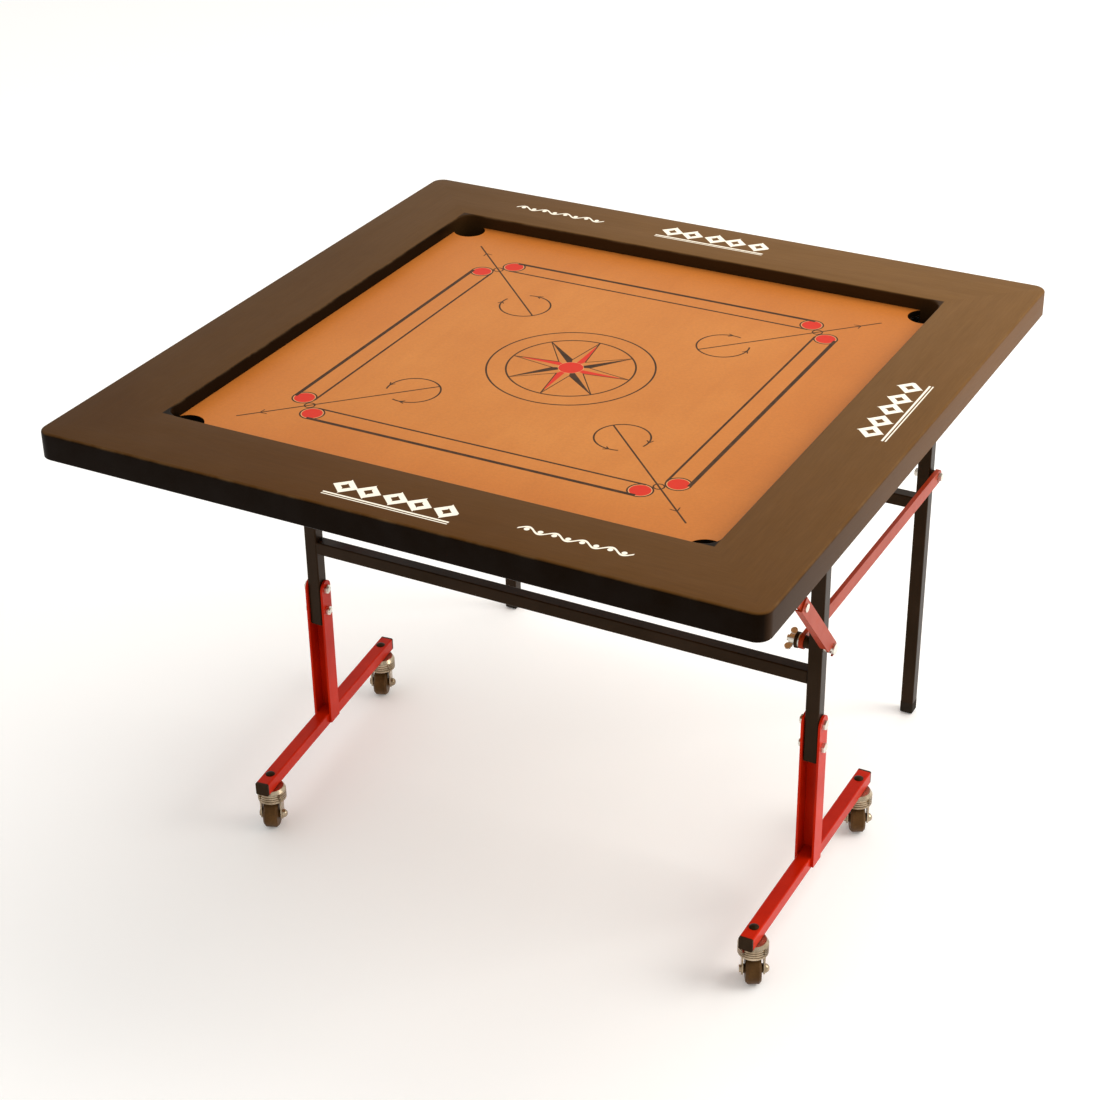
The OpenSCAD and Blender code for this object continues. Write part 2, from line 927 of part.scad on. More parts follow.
rail_front();
rail_back();
rail_left();
rail_right();
playing_surface();
battens();
pocket_rings();
pocket_nets();
tilt_brackets();
leg_brackets();
stay_brackets();
bracket_screws();
tilt_bolts();
leg_bolts();
stay_rivets();
upright_left();
upright_right();
front_crossbar();
channel_left();
channel_right();
channel_bolts();
foot_left();
foot_right();
foot_caps();
stem_caps();
castor_stems();
castor_top_races();
lock_bolts();
lock_collars();
link_spacers();
lock_washers();
friction_discs();
rear_leg_left();
rear_leg_right();
rear_crossbar();
leg_tips();
link_bolts();
leg_spacers();
link_bar_left();
link_bar_right();
stay_left_channel();
stay_left_bar();
stay_left_bolt();
stay_right_channel();
stay_right_bar();
stay_right_bolt();
wing_nut_left();
wing_nut_right();
fork_front_left();
fork_front_right();
fork_rear_left();
fork_rear_right();
axle_front_left();
axle_front_right();
axle_rear_left();
axle_rear_right();
wheel_front_left();
wheel_front_right();
wheel_rear_left();
wheel_rear_right();
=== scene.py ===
"""Looks of the carrom board on its folding stand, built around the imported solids. Metres, +Z up."""

import math

import bmesh
import bpy
import numpy as np
from mathutils import Matrix, Vector


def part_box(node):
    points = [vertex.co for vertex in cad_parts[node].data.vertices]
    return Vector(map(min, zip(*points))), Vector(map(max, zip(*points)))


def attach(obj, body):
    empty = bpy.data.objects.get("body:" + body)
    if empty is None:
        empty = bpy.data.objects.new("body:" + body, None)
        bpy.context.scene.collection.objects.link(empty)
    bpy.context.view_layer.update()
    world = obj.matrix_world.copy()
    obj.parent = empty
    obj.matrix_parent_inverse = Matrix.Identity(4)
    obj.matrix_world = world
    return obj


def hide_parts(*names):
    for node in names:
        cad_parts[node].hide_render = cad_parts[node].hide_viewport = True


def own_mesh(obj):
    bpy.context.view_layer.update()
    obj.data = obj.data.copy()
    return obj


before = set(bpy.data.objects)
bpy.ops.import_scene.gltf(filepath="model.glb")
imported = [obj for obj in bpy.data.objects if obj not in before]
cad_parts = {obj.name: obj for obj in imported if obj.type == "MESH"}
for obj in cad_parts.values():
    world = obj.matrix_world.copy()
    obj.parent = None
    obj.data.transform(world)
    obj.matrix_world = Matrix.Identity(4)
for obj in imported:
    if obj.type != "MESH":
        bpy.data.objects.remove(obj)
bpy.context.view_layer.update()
WARM = (1.0, 0.55, 0.25, 1.0)


# ---------------------------------------------------------------- shader maths
class Sock:
    """A shader value that takes part in sums; each operator adds one Math node."""

    def __init__(self, tree, socket):
        self.tree, self.socket = tree, socket

    def node(self, kind, inputs=(), out=0, **settings):
        """Adds one node: kind, settings by name, and inputs as (socket, value) pairs."""
        n = self.tree.nodes.new(kind)
        for k, v in settings.items():
            setattr(n, k, v)
        for k, v in inputs:
            if isinstance(v, Sock):
                self.tree.links.new(v.socket, n.inputs[k])
            else:
                n.inputs[k].default_value = v
        return Sock(self.tree, n.outputs[out])

    def op(self, name, *others):
        return self.node("ShaderNodeMath", list(enumerate([self, *others])), operation=name)

    def __add__(self, o): return self.op("ADD", o)
    def __sub__(self, o): return self.op("SUBTRACT", o)
    def __rsub__(self, o): return (self * -1.0) + o
    def __mul__(self, o): return self.op("MULTIPLY", o)
    def __truediv__(self, o): return self.op("DIVIDE", o)
    def __pow__(self, o): return self.op("POWER", o)
    def __lt__(self, o): return self.op("LESS_THAN", o)
    def __gt__(self, o): return self.op("GREATER_THAN", o)
    def abs(self): return self.op("ABSOLUTE")
    def min(self, o): return self.op("MINIMUM", o)
    def max(self, o): return self.op("MAXIMUM", o)
    def sin(self): return self.op("SINE")
    def cos(self): return self.op("COSINE")

    def ramp(self, lo, hi, a=0.0, b=1.0):
        """Straight ramp from a at lo to b at hi, held outside."""
        return self.node("ShaderNodeMapRange", [(0, self), (1, lo), (2, hi), (3, a), (4, b)], clamp=True)

    def band(self, half, soft=0.12):
        """1 where the value is within half of zero, with a soft edge."""
        return self.abs().ramp(half - soft, half + soft, 1.0, 0.0)

    def below(self, at, soft=0.25):
        return self.ramp(at - soft, at + soft, 1.0, 0.0)

    def above(self, at, soft=0.25):
        return self.ramp(at - soft, at + soft, 0.0, 1.0)


def length(a, b):
    return (a * a + b * b) ** 0.5


class Mat:
    """A node material around one Principled shader."""

    def __init__(self, name, **uniform):
        self.m = bpy.data.materials.new(name)
        self.m.use_nodes = True
        self.t = self.m.node_tree
        self.t.nodes.clear()
        out = self.t.nodes.new("ShaderNodeOutputMaterial")
        self.bsdf = self.t.nodes.new("ShaderNodeBsdfPrincipled")
        self.t.links.new(self.bsdf.outputs[0], out.inputs[0])
        self.root = Sock(self.t, None)
        tc = self.t.nodes.new("ShaderNodeTexCoord")
        self.obj = Sock(self.t, tc.outputs["Object"])
        for k, v in uniform.items():
            self.bsdf.inputs[k.replace("_", " ")].default_value = v

    def xyz(self, vec=None):
        n = self.t.nodes.new("ShaderNodeSeparateXYZ")
        self.t.links.new((vec or self.obj).socket, n.inputs[0])
        return [Sock(self.t, o) for o in n.outputs]

    def scaled(self, sx, sy, sz, vec=None):
        inputs = [(0, vec or self.obj), (1, (sx, sy, sz))]
        return self.root.node("ShaderNodeVectorMath", inputs, operation="MULTIPLY")

    def noise(self, scale, detail=4.0, rough=0.55, vec=None, distort=0.0):
        inputs = [("Vector", vec or self.obj), ("Scale", scale), ("Detail", detail),
                  ("Roughness", rough), ("Distortion", distort)]
        return self.root.node("ShaderNodeTexNoise", inputs)

    def mix(self, f, a, b, mode="MIX"):
        return self.root.node("ShaderNodeMix", [(0, f), (6, a), (7, b)], 2, data_type="RGBA", blend_type=mode)

    def tone(self, col, f):
        """A colour made lighter or darker by the factor."""
        return self.root.node("ShaderNodeVectorMath", [(0, col), ("Scale", f)], operation="SCALE")

    def to(self, name, value):
        self.t.links.new(value.socket, self.bsdf.inputs[name])

    def bump(self, height, strength, dist):
        n = self.root.node("ShaderNodeBump", [("Strength", strength), ("Distance", dist), ("Height", height)])
        self.to("Normal", n)


def rgb(r, g, b):
    """Linear colour from ordinary 0-255 screen values."""
    f = lambda v: v / 255 / 12.92 if v / 255 <= 0.04045 else ((v / 255 + 0.055) / 1.055) ** 2.4
    return (f(r), f(g), f(b), 1.0)


def paint(obj, mat):
    obj.data.materials.clear()
    obj.data.materials.append(mat.m)


# ---------------------------------------------------------------- sizes read from the solids
SURF_LO, SURF_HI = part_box("playing_surface")
TOP = SURF_HI.z
PLY_LO = SURF_LO.z
RAIL_LO, RAIL_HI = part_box("rail_front")
HALF = -RAIL_LO.y
INNER = -RAIL_HI.y
RING_POCKET = 0.02225  # radius of a pocket hole
FLANGE = 0.03075  # radius of a pocket ring's flange
POCKET_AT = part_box("pocket_rings")[1].x - FLANGE
NET_TOP = PLY_LO - 0.0036
NET_DEEP = NET_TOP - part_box("pocket_nets")[0].z
CORNERS = ("front_left", "front_right", "rear_left", "rear_right")


# ---------------------------------------------------------------- playing surface with its markings
def playing_material():
    """Warm lacquered board with the printed lines of the game drawn from distances in millimetres."""
    m = Mat("playing surface", Specular_IOR_Level=0.18, Specular_Tint=WARM)
    x, y, z = [c * 1000.0 for c in m.xyz()]
    ax, ay = x.abs(), y.abs()
    a, b = ax.max(ay), ax.min(ay)
    along, across = (ax + ay) * 0.70710678, ((ax - ay) * 0.70710678).abs()
    d0 = length(x, y)

    # base lines with their end circles
    ca, cb, cr = 255.2, 222.4, 15.9
    dc = length(a - ca, b - cb)
    lines = (a - (ca + cr - 2.6)).band(2.7) * b.below(cb)
    lines = lines.max((a - (ca - cr + 0.8)).band(1.6) * b.below(cb))
    lines = lines.max((dc - (cr - 0.8)).band(1.05))
    red = dc.below(12.9)
    pale = (dc - 13.9).band(0.9)

    # corner arrows
    arrow = across.band(1.15) * along.above(171.0) * along.below(427.0)
    arrow = arrow.max((length(along - 336.0, across) - 6.4).band(1.0))
    back = 398.0 - along
    arrow = arrow.max((across - back * 0.8).band(1.0) * back.above(0.2) * back.below(7.5))
    rho = length(along - 205.0, across)
    turn = across.op("ARCTAN2", along - 205.0)
    arrow = arrow.max((rho - 34.2).band(1.15) * turn.above(0.47, 0.01))
    gone = (turn - 0.80) * 34.0
    arrow = arrow.max(((rho - 34.2).abs() - gone * 0.6).band(1.0) * gone.above(0.0) * gone.below(6.5))

    # centre rings and the eight-armed star
    rings = (d0 - 107.3).band(1.2).max((d0 - 82.3).band(1.2))
    theta = y.op("ARCTAN2", x)
    turns = (theta / (math.pi / 4) + 8.5)
    local = (turns.op("FRACT") - 0.5) * (math.pi / 4)
    diagonal = ((turns.op("FLOOR") * 0.5).op("FRACT")) > 0.25
    p, q = d0 * local.cos(), d0 * local.sin()
    edge = (82.3 - p) * 0.152
    inside = (q.abs() - edge).below(0.0, 0.15) * d0.above(16.4)
    filled = inside * q.below(0.0, 0.12)
    outline = (q.abs() - edge).band(0.75) * p.above(20.5) * d0.below(82.3)
    tip = p.above(69.0, 1.5) * filled
    hub = d0.below(15.9)
    red = red.max(hub).max(filled * (1.0 - diagonal))
    dark = lines.max(arrow).max(rings).max(outline).max(filled * diagonal).max(tip)
    pale = pale.max((d0 - 16.3).band(0.5))

    # board colour: soft clouds, fine speckle, warmer toward the frame
    cloud = m.noise(5.0, 3.0, 0.6)
    fine = m.noise(260.0, 4.0, 0.7)
    grain = m.noise(40.0, 5.0, 0.65, m.scaled(1.0, 0.16, 1.0), 0.4)
    rim = a.ramp(200.0, 372.0)
    base = m.mix(cloud.ramp(0.35, 0.7), rgb(186, 112, 46), rgb(194, 122, 56))
    base = m.mix(rim * 0.55, base, rgb(180, 98, 34))
    base = m.mix(grain.ramp(0.45, 0.75, 0.0, 0.25), base, rgb(172, 98, 38))
    base = m.tone(base, fine.ramp(0.3, 0.7, 0.93, 1.06))
    ink = m.noise(90.0, 3.0)
    col = m.mix(pale * 0.55, base, rgb(226, 176, 122))
    col = m.mix(dark * ink.ramp(0.2, 0.6, 0.9, 1.0), col, rgb(46, 26, 8))
    pocket = POCKET_AT * 1000.0
    hole = length(a.min(b) - pocket, a.max(b) - pocket).below(25.0, 0.3)
    col = m.mix(red * (1.0 - dark) * 0.96, col, rgb(200, 30, 16))
    top = z.above((TOP - 0.0004) * 1000.0, 0.1)
    plies = (z * 4.0).sin().ramp(-0.2, 0.2)
    side = m.mix(plies, rgb(170, 120, 74), rgb(205, 160, 108))
    side = m.mix(m.noise(60.0, 5.0, 0.6, m.scaled(1.0, 0.1, 1.0)), side, rgb(150, 105, 64))
    # painted shade: the walls of the pocket holes near black, as a dark recess
    side = m.mix(hole * z.above(PLY_LO * 1000.0 + 0.1, 0.1), side, rgb(12, 9, 6))
    m.to("Base Color", m.mix(top, side, col))
    m.to("Roughness", (fine * 0.10 + cloud * 0.12 + 0.30) + (1.0 - top) * 0.25 + dark * 0.05)
    m.bump(fine * 0.6 + grain * 0.5 + dark * 0.25, 0.12, 0.0004)
    return m


# ---------------------------------------------------------------- frame rails
def lozenges(u, v):
    """Cream inlay, u along the rail and v across it in mm: five open lozenges in a chain over two thin lines.
    The chain repeats every 33 mm; each lozenge is where 0.95 |du| + |v| is under its half height."""
    cell = (u / 33.0 + 0.5).op("FRACT") - 0.5
    odd = ((u / 66.0 + 0.25).op("FRACT") - 0.5).abs() < 0.25
    reach = cell.abs() * 33.0 * 0.95 + (v - 3.0).abs()
    high = odd * 2.5 + 14.5
    body = (reach - high).below(0.0, 0.4) * (reach - (high - 9.5)).above(0.0, 0.4)
    lines = (v + 17.5).band(1.3, 0.25).max((v + 21.6).band(0.8, 0.25))
    return (body.max(lines)) * u.abs().below(82.0, 0.4)


def vine(u, v):
    """Cream inlay, u along the rail and v across it in mm: a thin wave v = 5 sin(u / 5.4)
    with a bud in each bend."""
    stem = (v - (u * 0.185).sin() * 5.0).band(1.5, 0.3)
    bud = length((u / 17.0).op("FRACT") * 17.0 - 8.5, v).below(3.2, 0.3)
    return stem.max(bud) * u.abs().below(70.0, 0.4)


def rail_material():
    """Brown stained, satin lacquered hardwood, grain along each rail. Painted light and shade: the tops
    lighter toward the back (painted reflection) and darker toward the left (painted shade); the outer faces
    near black as painted shade, except the right one, painted as a lit brown face; the inner walls painted
    dark as shade."""
    m = Mat("frame wood", Coat_Roughness=0.3, Specular_IOR_Level=0.05, Specular_Tint=WARM)
    x, y, z = [c * 1000.0 for c in m.xyz()]
    ends = y.abs() > x.abs()
    run = m.mix(ends, m.scaled(1.0, 0.06, 1.0), m.scaled(0.06, 1.0, 1.0))
    streak = m.noise(55.0, 6.0, 0.62, run, 0.6)
    fine = m.noise(420.0, 3.0, 0.7, run)
    cloud = m.noise(4.0, 3.0, 0.55)
    wear = m.noise(23.0, 4.0, 0.6)
    half, inner, high = HALF * 1000.0, INNER * 1000.0, RAIL_HI.z * 1000.0
    # painted light: the rail tops lighter toward the back as a painted reflection, and darker toward the left
    # as painted shade
    stain_with_painted_light = m.mix((x * 0.4 + y).ramp(-half * 1.2, half * 1.2), rgb(78, 46, 12), rgb(118, 84, 46))
    stain_with_painted_light = m.mix(x.ramp(-half, -half * 0.2, 0.55, 0.0), stain_with_painted_light, rgb(54, 34, 12))
    col = m.mix(streak.ramp(0.35, 0.7, 0.0, 0.3), stain_with_painted_light, rgb(60, 38, 14))
    col = m.mix(cloud.ramp(0.35, 0.7, 0.0, 0.25), col, rgb(94, 66, 34))
    # painted light on the outer faces: the right face painted as lit brown, darker toward the front corner;
    # the front, back and left outer faces near black as painted shade
    painted_right_face_light = m.mix(y.ramp(-half, half * 0.4), rgb(40, 22, 6), rgb(98, 66, 34))
    edge = m.mix(x.above(half - 3.0, 2.5), rgb(8, 3, 1), painted_right_face_light)
    outer = x.abs().max(y.abs()).above(inner + 4.0, 1.0) * z.below(high - 1.6, 0.9)
    wall = x.abs().max(y.abs()).below(inner + 1.0, 0.8)
    col = m.mix(outer, col, edge)
    # painted shade on the inner walls: near black, a little lighter on the back rail's wall
    col = m.mix(wall, col, m.mix(y.above(inner - 40.0, 30.0), rgb(14, 8, 3), rgb(50, 32, 14)))
    col = m.tone(col, fine.ramp(0.3, 0.7, 0.92, 1.08) * streak.ramp(0.3, 0.7, 0.94, 1.05))
    arris = z.above(high - 2.2, 1.2) * z.below(high - 0.25, 0.2)
    col = m.mix(arris * wear.ramp(0.45, 0.75, 0.0, 0.4), col, rgb(120, 92, 60))
    # generic inlays on the tops
    on_top = z.above(high - 0.1, 0.05)
    inlay = lozenges(x, y + 428.0).max(vine(x - 225.0, y + 420.0))
    inlay = inlay.max(vine(x + 237.0, y - 420.0)).max(lozenges(x - 3.0, y - 427.0))
    inlay = inlay.max(lozenges(y - 31.0, 418.0 - x))
    chip = m.noise(300.0, 3.0, 0.7)
    col = m.mix(inlay * on_top * chip.ramp(0.25, 0.45, 0.75, 1.0), col, rgb(250, 242, 224))
    m.to("Base Color", col)
    m.to("Roughness", streak * 0.12 + wear * 0.16 + 0.30)
    m.to("Coat Weight", wear.ramp(0.3, 0.7, 0.0, 0.06))
    m.bump(streak * 0.6 + fine * 0.4, 0.12, 0.0004)
    return m


def corner_loop(half, r, quarter):
    """One side of a rounded square from its mid-corner to the next mid-corner, turned to that side.
    A corner's centre lies half - r from the middle both ways. Its points lie r (sin t, cos t) farther out,
    for t from 45 to 0 degrees, and the side is straight between the two corners."""
    t = np.radians(np.linspace(45.0, 0.0, 9))
    left = np.stack([-(half - r) - r * np.sin(t), -(half - r) - r * np.cos(t)], 1)
    right = left[::-1] * [-1, 1]
    s = np.linspace(0, 1, 26)[1:-1, None]
    p = np.vstack([left, left[-1] * (1 - s) + right[0] * s, right])
    c, n = math.cos(quarter * math.pi / 2), math.sin(quarter * math.pi / 2)
    return p @ np.array([[c, n], [-n, c]])


def grid_mesh(name, verts, faces, smooth=True):
    me = bpy.data.meshes.new(name)
    me.from_pydata([tuple(v) for v in verts], [], faces)
    me.update()
    if smooth:
        me.polygons.foreach_set("use_smooth", [True] * len(me.polygons))
    o = bpy.data.objects.new(name, me)
    bpy.context.scene.collection.objects.link(o)
    return o


def rail(name, quarter):
    """A mitred rail: the closed profile below lofted along one side of nested rounded squares.
    Each profile point is (inset from the outer face, height, corner radius)."""
    lo, hi = RAIL_LO.z, RAIL_HI.z
    w = HALF - INNER
    ro, ri = 0.018, RING_POCKET
    e = 0.0035
    prof = [(0, lo + 0.0015, ro), (0, hi - e, ro)]
    for k in range(1, 7):
        t = math.radians(15 * k)
        prof.append((e * (1 - math.cos(t)), hi - e + e * math.sin(t), ro - e * (1 - math.cos(t))))
    prof += [(w * 0.3, hi, 0.02), (w * 0.7, hi, 0.02)]
    e2 = 0.0025
    for k in range(0, 7):
        t = math.radians(90 - 15 * k)
        prof.append((w - e2 * (1 - math.cos(t)), hi - e2 + e2 * math.sin(t), ri + e2 * (1 - math.cos(t))))
    prof += [(w, TOP + 0.00005, ri), (w, TOP - 0.0001, ri), (w, lo + 0.001, ri), (w - 0.001, lo, ri + 0.001),
             (0.0015, lo, ro - 0.0015)]
    loops = []
    for inset, height, r in prof:
        side = corner_loop(HALF - inset, r, quarter)
        loops.append(np.column_stack([side, np.full(len(side), height)]))
    n, c = len(loops), len(loops[0])
    verts = np.vstack(loops)
    faces = [(i * c + j, ((i + 1) % n) * c + j, ((i + 1) % n) * c + j + 1, i * c + j + 1)
             for i in range(n) for j in range(c - 1)]
    faces += [tuple(i * c for i in range(n))[::-1], tuple(i * c + c - 1 for i in range(n))]
    o = grid_mesh(name + "_rounded", verts, faces)
    fix_normals(o)
    return o


def fix_normals(o):
    """Turns the faces outward and keeps edges of more than 40 degrees sharp."""
    bm = bmesh.new()
    bm.from_mesh(o.data)
    bmesh.ops.recalc_face_normals(bm, faces=bm.faces)
    bm.to_mesh(o.data)
    bm.free()
    split = o.modifiers.new("edges", "EDGE_SPLIT")
    split.split_angle = math.radians(40)


def bare_metal(name, col, rough=0.24, tint=(0.5, 0.5, 0.5, 1.0)):
    """Plated steel: cloudy plating, turned streaks and dull spots."""
    m = Mat(name, Metallic=1.0)
    cloud = m.noise(60.0, 4.0, 0.6)
    fine = m.noise(900.0, 3.0, 0.7)
    c = m.mix(cloud.ramp(0.35, 0.7), col, tint)
    m.to("Base Color", m.tone(c, fine.ramp(0.3, 0.7, 0.9, 1.05)))
    m.to("Roughness", cloud * 0.22 + fine * 0.1 + (rough - 0.1))
    m.bump(fine * 0.5 + cloud * 0.5, 0.12, 0.0003)
    return m


def gloss_paint(name, light, dark, chip):
    """Brushed-on gloss enamel over steel: orange peel, runs of tone, and scuffs to primer in scattered
    patches.
    """
    m = Mat(name, Coat_Roughness=0.2, Specular_IOR_Level=0.10, Specular_Tint=WARM)
    cloud = m.noise(9.0, 3.0, 0.6)
    peel = m.noise(420.0, 2.0, 0.5)
    scuff = m.noise(75.0, 6.0, 0.7)
    c = m.mix(cloud.ramp(0.3, 0.7), light, dark)
    c = m.mix(scuff.ramp(0.66, 0.74, 0.0, 0.6), c, chip)
    m.to("Base Color", m.tone(c, peel.ramp(0.3, 0.7, 0.96, 1.04)))
    m.to("Roughness", cloud * 0.1 + scuff * 0.16 + 0.2)
    m.to("Coat Weight", scuff.ramp(0.55, 0.7, 0.05, 0.01))
    m.bump(peel * 0.7 + scuff * 0.3, 0.10, 0.0005)
    return m


def black_paint():
    """Satin black stove enamel with a fine texture and rubbed patches."""
    m = Mat("black enamel", Coat_Roughness=0.3, Specular_IOR_Level=0.16, Specular_Tint=WARM)
    cloud = m.noise(12.0, 3.0, 0.6)
    fine = m.noise(700.0, 3.0, 0.6)
    scuff = m.noise(48.0, 6.0, 0.7)
    c = m.mix(cloud.ramp(0.3, 0.7), rgb(18, 9, 2), rgb(30, 18, 7))
    c = m.mix(scuff.ramp(0.66, 0.78, 0.0, 0.4), c, rgb(62, 48, 30))
    m.to("Base Color", m.tone(c, fine.ramp(0.3, 0.7, 0.88, 1.12)))
    m.to("Roughness", cloud * 0.12 + scuff * 0.14 + 0.26)
    m.to("Coat Weight", cloud.ramp(0.3, 0.7, 0.02, 0.08))
    m.bump(fine, 0.14, 0.0003)
    return m


def moulded(name, light, dark, rough):
    """Moulded rubber or plastic with a fine grain and dusty patches."""
    m = Mat(name, Specular_IOR_Level=0.15, Specular_Tint=WARM)
    cloud = m.noise(40.0, 4.0, 0.65)
    fine = m.noise(600.0, 3.0, 0.6)
    m.to("Base Color", m.tone(m.mix(cloud.ramp(0.35, 0.7), light, dark), fine.ramp(0.3, 0.7, 0.9, 1.1)))
    m.to("Roughness", cloud * 0.2 + fine * 0.08 + (rough - 0.12))
    m.bump(fine, 0.2, 0.0003)
    return m


def batten_material():
    """Pale bare wood, grain along each batten."""
    m = Mat("batten wood")
    x = m.xyz()[0] * 1000.0
    long = (x.abs() - 140.0).abs() < 21.0
    run = m.mix(long, m.scaled(0.05, 1.0, 1.0), m.scaled(1.0, 0.05, 1.0))
    streak = m.noise(90.0, 6.0, 0.6, run, 0.8)
    cloud = m.noise(8.0, 3.0)
    c = m.mix(streak.ramp(0.35, 0.68), rgb(186, 140, 92), rgb(146, 102, 60))
    m.to("Base Color", m.mix(cloud.ramp(0.35, 0.7, 0.0, 0.4), c, rgb(160, 118, 76)))
    m.to("Roughness", streak * 0.2 + 0.55)
    m.bump(streak, 0.25, 0.0005)
    return m


def net_material():
    """Knitted black cord: fine twist along each strand."""
    m = Mat("net cord", Specular_IOR_Level=0.3)
    x, y, z = m.xyz()
    twist = ((x + y + z) * 5200.0).sin()
    cloud = m.noise(70.0, 3.0)
    strand = m.mix(cloud, rgb(40, 36, 32), rgb(28, 25, 22))
    m.to("Base Color", m.mix(twist.ramp(-0.6, 0.8), rgb(12, 11, 10), strand))
    m.to("Roughness", cloud * 0.2 + 0.65)
    m.bump(twist, 0.4, 0.0004)
    return m


def pocket_net(name, centres):
    """Soft nets. Each is a bag of revolution whose radius follows a smooth curve of depth, made of two
    families of cords that wind opposite ways round it, and a thin dark lining inside, a sheet of painted
    shade so the bag reads dark.
    Cord sections are pentagons."""
    depth = np.array([0.0, 0.10, 0.3, 0.5, 0.72, 0.88, 0.97, 1.0])
    radius = np.array([0.0250, 0.0262, 0.0283, 0.0288, 0.0268, 0.0205, 0.0110, 0.0020])
    verts, faces = [], []
    n, sides, count = 34, 5, 18
    s = np.linspace(0, 1, n)
    r = np.interp(s, depth, radius)
    r = np.convolve(np.pad(r, 2, mode="edge"), [0.1, 0.2, 0.4, 0.2, 0.1], "valid")
    zz = NET_TOP - s * NET_DEEP
    base = 0
    for cx, cy in centres:
        for family in (-1, 1):
            for k in range(count):
                a = 2 * math.pi * k / count + family * 1.9 * s
                path = np.stack([r * np.cos(a), r * np.sin(a), zz], 1)
                tan = np.gradient(path, axis=0)
                tan /= np.linalg.norm(tan, axis=1)[:, None]
                out = np.stack([np.cos(a), np.sin(a), 0 * a], 1)
                side = np.cross(tan, out)
                side /= np.linalg.norm(side, axis=1)[:, None]
                up = np.cross(side, tan)
                w = np.linspace(0, 2 * math.pi, sides, endpoint=False)
                thick = 0.00075 * np.clip(r / 0.012, 0.35, 1)[:, None, None]
                ring = path[:, None] + thick * (np.cos(w)[None, :, None] * side[:, None]
                                                + np.sin(w)[None, :, None] * up[:, None])
                verts.append(ring.reshape(-1, 3) + [cx, cy, 0])
                i = np.arange(n - 1)[:, None] * sides
                j = np.arange(sides)[None]
                q = np.stack([i + j, i + (j + 1) % sides, i + sides + (j + 1) % sides, i + sides + j], -1)
                faces.append(q.reshape(-1, 4) + base)
                base += n * sides
        # dark lining sheet in each bag: painted shade, the inside of the net shown dark as if unlit
        m = 36
        a = np.linspace(0, 2 * math.pi, m, endpoint=False)
        for inset, flip in ((0.0007, False), (0.0012, True)):
            ring = np.stack([(r[:, None] - inset) * np.cos(a), (r[:, None] - inset) * np.sin(a),
                             np.repeat((zz + inset)[:, None], m, 1)], -1)
            verts.append(ring.reshape(-1, 3) + [cx, cy, 0])
            i = np.arange(n - 1)[:, None] * m
            j = np.arange(m)[None]
            q = np.stack([i + j, i + m + j, i + m + (j + 1) % m, i + (j + 1) % m], -1).reshape(-1, 4)
            faces.append((q[:, ::-1] if flip else q) + base)
            base += n * m
    return grid_mesh(name, np.vstack(verts), [tuple(int(v) for v in f) for f in np.vstack(faces)])


# ---------------------------------------------------------------- dress the solids
wood, surface = rail_material(), playing_material()
black = black_paint()
foot_red = gloss_paint("red enamel", rgb(200, 34, 4), rgb(172, 22, 2), rgb(110, 26, 10))
links_red = gloss_paint("worn red enamel", rgb(166, 58, 28), rgb(146, 42, 16), rgb(108, 38, 22))
zinc = bare_metal("bright zinc", (0.80, 0.77, 0.70, 1), 0.26, (0.60, 0.56, 0.48, 1))
yellow = bare_metal("yellow zinc", (0.56, 0.46, 0.33, 1), 0.22, (0.24, 0.17, 0.10, 1))
chrome = bare_metal("polished ring", (0.8, 0.8, 0.8, 1), 0.16, (0.7, 0.7, 0.7, 1))
plastic = moulded("black plastic", rgb(28, 18, 8), rgb(44, 30, 16), 0.42)
rubber = moulded("rubber", rgb(24, 22, 19), rgb(44, 40, 34), 0.72)
wheel_stuff = moulded("castor wheel", rgb(70, 48, 26), rgb(92, 66, 38), 0.42)

for quarter, name in enumerate(("rail_front", "rail_right", "rail_back", "rail_left")):
    o = rail(name, quarter)
    paint(o, wood)
    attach(o, "board")
    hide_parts(name)

nets = pocket_net("nets_knitted", [(sx * POCKET_AT, sy * POCKET_AT) for sx in (-1, 1) for sy in (-1, 1)])
paint(nets, net_material())
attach(nets, "board")
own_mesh(nets)
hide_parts("pocket_nets")

DRESS = [
    (surface, ["playing_surface"]),
    (batten_material(), ["battens"]),
    (chrome, ["pocket_rings"]),
    (black, ["tilt_brackets", "leg_brackets", "stay_brackets", "upright_left", "upright_right",
             "front_crossbar", "rear_leg_left", "rear_leg_right", "rear_crossbar"]),
    (zinc, ["bracket_screws", "tilt_bolts", "leg_bolts", "stay_rivets", "channel_bolts", "lock_bolts",
            "lock_collars", "lock_washers", "link_bolts", "stay_left_bolt", "stay_right_bolt",
            "wing_nut_left", "wing_nut_right", "castor_stems"]),
    (foot_red, ["channel_left", "channel_right", "foot_left", "foot_right"]),
    (links_red, ["stay_left_channel", "stay_left_bar", "stay_right_channel", "stay_right_bar",
                 "link_bar_left", "link_bar_right"]),
    (plastic, ["foot_caps", "stem_caps", "friction_discs", "link_spacers", "leg_spacers"]),
    (rubber, ["leg_tips"]),
    (yellow, ["castor_top_races"] + [part + corner for part in ("fork_", "axle_") for corner in CORNERS]),
    (wheel_stuff, ["wheel_" + corner for corner in CORNERS]),
]
for mat, names in DRESS:
    for name in names:
        paint(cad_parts[name], mat)


# ---------------------------------------------------------------- floor, light and camera
def plane(name, size, z):
    s = np.linspace(-size, size, 3)
    gx, gy = np.meshgrid(s, s, indexing="ij")
    v = np.stack([gx, gy, np.full_like(gx, z)], -1).reshape(-1, 3)
    f = [(i * 3 + j, (i + 1) * 3 + j, (i + 1) * 3 + j + 1, i * 3 + j + 1) for i in range(2) for j in range(2)]
    return grid_mesh(name, v, f, False)


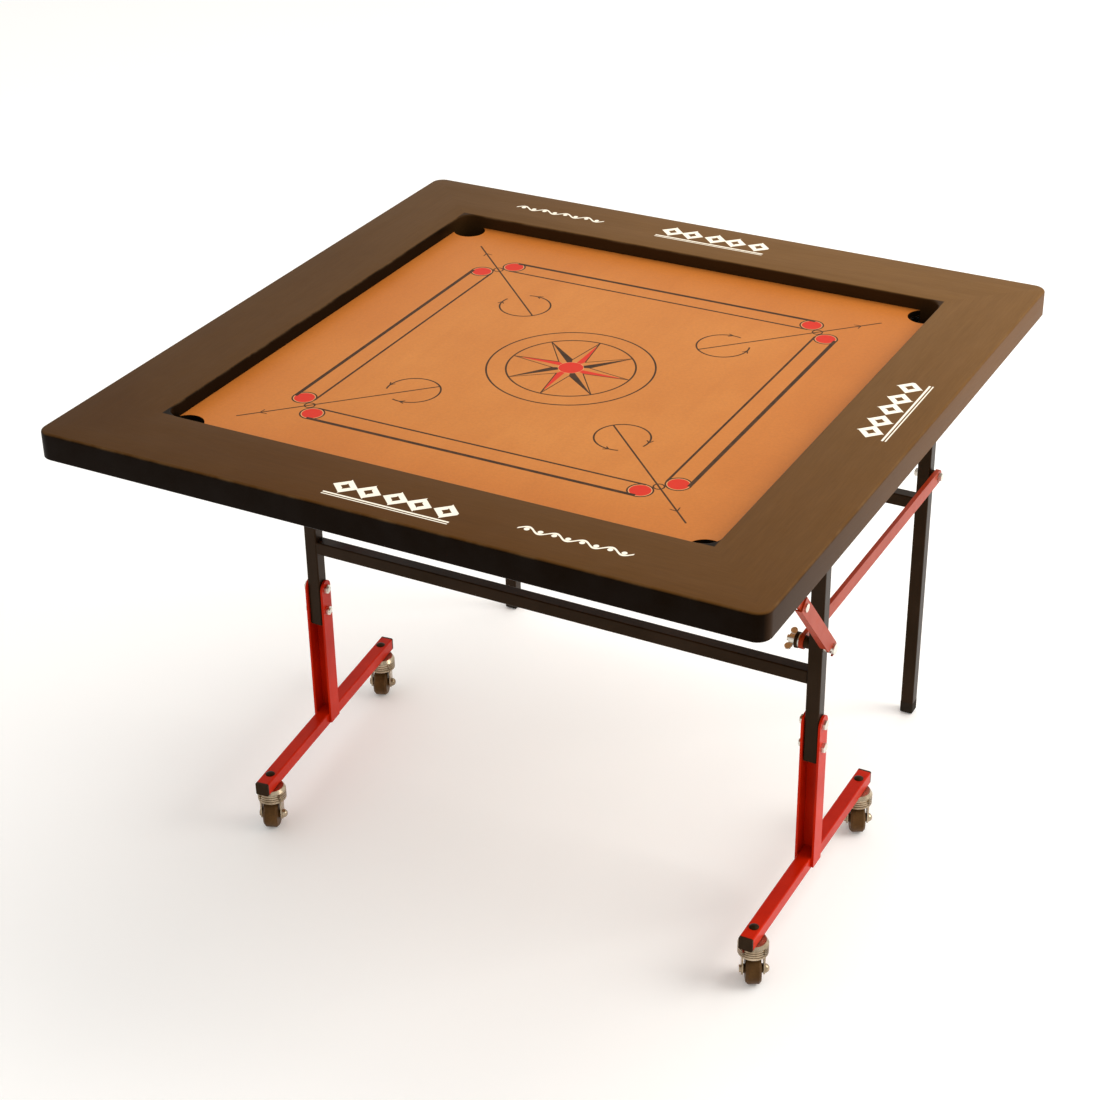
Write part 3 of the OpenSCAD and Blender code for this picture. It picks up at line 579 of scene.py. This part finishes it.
floor = plane("floor", 40.0, -0.0002)
fm = Mat("pale floor", Emission_Strength=0.10)
fm.to("Base Color", fm.mix(fm.noise(0.6), (0.955, 0.952, 0.945, 1), (0.975, 0.972, 0.965, 1)))
fm.to("Roughness", fm.noise(2.0) * 0.1 + 0.75)
fm.bsdf.inputs["Emission Color"].default_value = (1.0, 0.99, 0.97, 1.0)
paint(floor, fm)

world = bpy.data.worlds.new("studio")
bpy.context.scene.world = world
world.use_nodes = True
world.node_tree.nodes["Background"].inputs[0].default_value = (1.0, 0.985, 0.96, 1)
world.node_tree.nodes["Background"].inputs[1].default_value = 0.80
bpy.context.scene.view_settings.view_transform = "Standard"


def soft_light(name, at, aim, size, power):
    """A round, slightly warm area light at one point, aimed at another."""
    d = bpy.data.lights.new(name, "AREA")
    d.shape, d.size, d.energy, d.color = "DISK", size, power, (1, 0.97, 0.92)
    o = bpy.data.objects.new(name, d)
    o.location = at
    o.rotation_mode = "QUATERNION"
    o.rotation_quaternion = (Vector(aim) - Vector(at)).to_track_quat("-Z", "Y")
    bpy.context.scene.collection.objects.link(o)


soft_light("key", (3.2, 1.2, 2.4), (0, 0, 0.4), 2.6, 85)
soft_light("top", (0.4, 1.8, 4.2), (0, 0, 0.5), 3.6, 60)

az, el, roll = math.radians(28.30), math.radians(29.70), math.radians(-0.87)
back = Vector((math.sin(az) * math.cos(el), -math.cos(az) * math.cos(el), math.sin(el)))
right = Vector((math.cos(az), math.sin(az), 0))
up = back.cross(right)
r2 = right * math.cos(roll) + up * math.sin(roll)
u2 = up * math.cos(roll) - right * math.sin(roll)
cam = bpy.data.objects.new("camera", bpy.data.cameras.new("camera"))
bpy.context.scene.collection.objects.link(cam)
cam.data.lens, cam.data.sensor_width = 74.75, 36.0
cam.data.shift_x, cam.data.shift_y = -0.0079, -0.0010
place = Vector((0.2023, -0.4156, TOP)) + back * 2.486
cam.matrix_world = Matrix((
    (r2.x, u2.x, back.x, place.x),
    (r2.y, u2.y, back.y, place.y),
    (r2.z, u2.z, back.z, place.z),
    (0, 0, 0, 1)))
cam.data.clip_start, cam.data.clip_end = 0.05, 200.0
bpy.context.scene.camera = cam
